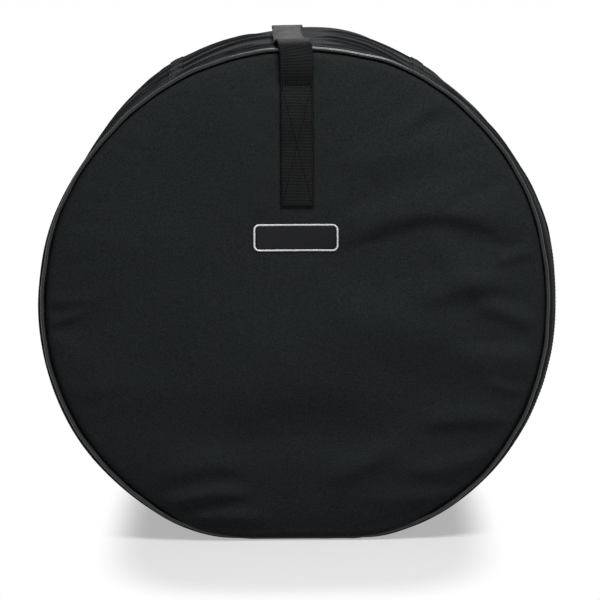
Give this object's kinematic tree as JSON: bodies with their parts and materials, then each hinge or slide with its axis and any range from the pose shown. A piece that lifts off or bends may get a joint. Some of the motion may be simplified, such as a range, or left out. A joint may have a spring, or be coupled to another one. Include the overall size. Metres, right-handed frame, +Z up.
{
  "type": "bass drum bag",
  "caption": "Soft padded round bag for a bass drum, with a top-hinged zip-off front, piped edges and a carry strap over the top.",
  "frame": {"origin": "on the floor, under the middle of the case, at the centre of its flat base", "axes": "+Z up, -Y towards the front that opens, +X to the right seen from the front"},
  "size_m": [0.6052, 0.431, 0.582],
  "materials": {
    "black_canvas": "matte",
    "foam": "matte",
    "lining": "matte",
    "vinyl": "satin",
    "cord": "matte",
    "binding": "matte",
    "webbing": "satin",
    "thread": "satin",
    "zipper_tape": "matte",
    "zipper_coil": "satin",
    "slider_metal": "satin",
    "patch": "satin",
    "patch_edge": "matte"
  },
  "bodies": {
    "lid": {"front_panel_fabric": "black_canvas", "front_panel_foam": "foam", "front_panel_lining": "lining", "front_seam_binding": "binding", "front_piping_sleeve": "vinyl", "front_piping_cord": "cord", "lid_skirt_fabric": "black_canvas", "lid_skirt_foam": "foam", "lid_skirt_lining": "lining", "lid_seam_tape_left": "binding", "lid_seam_tape_right": "binding", "zipper_tape_front": "zipper_tape", "zipper_coil_front": "zipper_coil", "strap_front_end": "webbing", "strap_front_stitching": "thread", "label_patch": "patch", "label_patch_border": "patch_edge"},
    "case": {"hinge_panel": "black_canvas", "hinge_lining": "lining", "wall_fabric": "black_canvas", "wall_foam": "foam", "wall_lining": "lining", "top_panel_fabric": "black_canvas", "top_panel_foam": "foam", "top_panel_lining": "lining", "body_seam_tape_left": "binding", "body_seam_tape_right": "binding", "zipper_tape_rear": "zipper_tape", "zipper_coil_rear": "zipper_coil", "back_panel_fabric": "black_canvas", "back_panel_foam": "foam", "back_panel_lining": "lining", "back_seam_binding": "binding", "back_piping_sleeve": "vinyl", "back_piping_cord": "cord", "carry_strap": "webbing", "strap_back_end": "webbing", "strap_back_stitching": "thread"},
    "upper_slider": {"upper_zipper_slider": "slider_metal"},
    "upper_pull": {"upper_zipper_pull": "slider_metal"},
    "lower_slider": {"lower_zipper_slider": "slider_metal"},
    "lower_pull": {"lower_zipper_pull": "slider_metal"}
  },
  "joints": [
    {"name": "lid_hinge", "type": "hinge", "parent": "case", "child": "lid", "pos_m": [0, -0.15, 0.55915], "axis": [-1, 0, 0], "range_deg": [0, 110], "deforming": ["hinge_panel", "hinge_lining", "carry_strap"]},
    {"name": "upper_slider_travel", "type": "hinge", "parent": "case", "child": "upper_slider", "pos_m": [0, -0.15, 0.27915], "axis": [0, 1, 0], "range_deg": [0, 41]},
    {"name": "upper_pull_swing", "type": "hinge", "parent": "upper_slider", "child": "upper_pull", "pos_m": [-0.30012, -0.15, 0.31811], "axis": [0, 1, 0], "range_deg": [0, 120]},
    {"name": "lower_slider_travel", "type": "hinge", "parent": "case", "child": "lower_slider", "pos_m": [0, -0.15, 0.27915], "axis": [0, 1, 0], "range_deg": [-44, 0]},
    {"name": "lower_pull_swing", "type": "hinge", "parent": "lower_slider", "child": "lower_pull", "pos_m": [-0.30254, -0.15, 0.27177], "axis": [0, 1, 0], "range_deg": [0, 120]}
  ]
}
